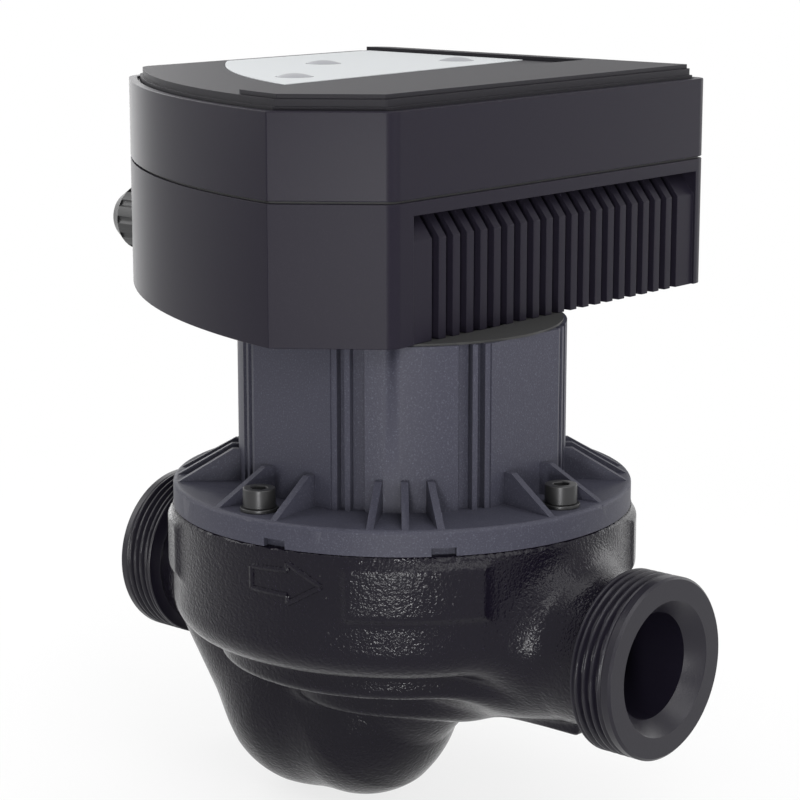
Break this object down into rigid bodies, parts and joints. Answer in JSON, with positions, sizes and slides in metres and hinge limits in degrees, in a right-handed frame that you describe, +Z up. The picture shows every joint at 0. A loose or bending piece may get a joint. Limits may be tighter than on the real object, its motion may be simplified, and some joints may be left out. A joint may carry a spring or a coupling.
{
  "type": "circulation pump",
  "caption": "Wet rotor heating pump: cast casing with two in-line union ports, fluted motor body and a finned electronics head with a keypad and a cable gland.",
  "frame": {"origin": "centre of the inlet union's sealing face, on the port axis", "axes": "+X runs along the flow from the inlet face to the outlet face, +Z up the shaft towards the electronics head, +Y towards the back of the head"},
  "size_m": [0.2164, 0.165, 0.2033],
  "materials": {
    "casing_enamel": "black glossy enamel over a rough casting",
    "anthracite_coat": "fine textured anthracite coat on cast aluminium",
    "black_coat": "satin black coat on cast aluminium",
    "black_plastic": "satin black moulding",
    "panel_plastic": "matt dark moulding",
    "grey_film": "light grey keypad film",
    "button_grey": "light grey button cap",
    "black_steel": "black oxide steel",
    "steel": "bright steel",
    "lamination_steel": "laminated electrical steel",
    "ceramic": "polished ceramic",
    "carbon": "carbon graphite",
    "rubber": "black elastomer",
    "enamelled_copper": "enamelled copper wire",
    "cream_plastic": "cream moulding",
    "dark_plastic": "black moulding",
    "circuit_board": "green solder mask",
    "capacitor_sleeve": "dark blue sleeve",
    "grey_pad": "soft heat conducting pad",
    "green_plastic": "green moulding",
    "gland_nylon": "black nylon"
  },
  "bodies": {
    "pump_body": {"pump_casing": "casing_enamel", "wear_ring": "steel", "bearing_plate": "steel", "front_bearing": "ceramic", "rotor_can": "steel", "can_seal": "rubber", "casing_seal": "rubber", "rear_bearing": "carbon", "rear_bearing_carrier": "steel", "stator_core": "lamination_steel", "stator_windings": "enamelled_copper", "winding_insulators": "cream_plastic", "motor_housing": "anthracite_coat", "flange_screws": "black_steel", "flange_washers": "black_steel", "base_gasket": "rubber", "base_screws": "steel", "motor_connector": "cream_plastic", "electronics_base": "black_coat", "power_board": "circuit_board", "board_screws": "steel", "capacitors": "capacitor_sleeve", "filter_choke": "enamelled_copper", "power_module": "dark_plastic", "thermal_pad": "grey_pad", "terminal_block": "green_plastic", "board_link": "dark_plastic", "cover_gasket": "rubber", "electronics_cover": "black_plastic", "cover_screws": "steel", "top_plate": "panel_plastic", "raised_strip": "panel_plastic", "keypad_film": "grey_film", "button_switches": "dark_plastic", "display_board": "circuit_board", "gland_body": "gland_nylon", "gland_washer": "rubber", "gland_seal": "rubber", "gland_nut": "gland_nylon"},
    "rotor_assembly": {"shaft": "ceramic", "rotor": "steel", "impeller": "dark_plastic", "thrust_ring": "carbon"},
    "front_button": {"front_button": "button_grey"},
    "side_button": {"side_button": "button_grey"},
    "back_button": {"back_button": "button_grey"}
  },
  "joints": [
    {"name": "rotor_spin", "type": "hinge", "parent": "pump_body", "child": "rotor_assembly", "pos_m": [0.09, 0, 0.024], "axis": [0, 0, 1], "continuous": true},
    {"name": "front_button_press", "type": "slide", "parent": "pump_body", "child": "front_button", "axis": [0, 0, -1], "range_m": [0, 0.0006], "stiffness_N_per_m": 600},
    {"name": "side_button_press", "type": "slide", "parent": "pump_body", "child": "side_button", "axis": [0, 0, -1], "range_m": [0, 0.0006], "stiffness_N_per_m": 600},
    {"name": "back_button_press", "type": "slide", "parent": "pump_body", "child": "back_button", "axis": [0, 0, -1], "range_m": [0, 0.0006], "stiffness_N_per_m": 600}
  ]
}
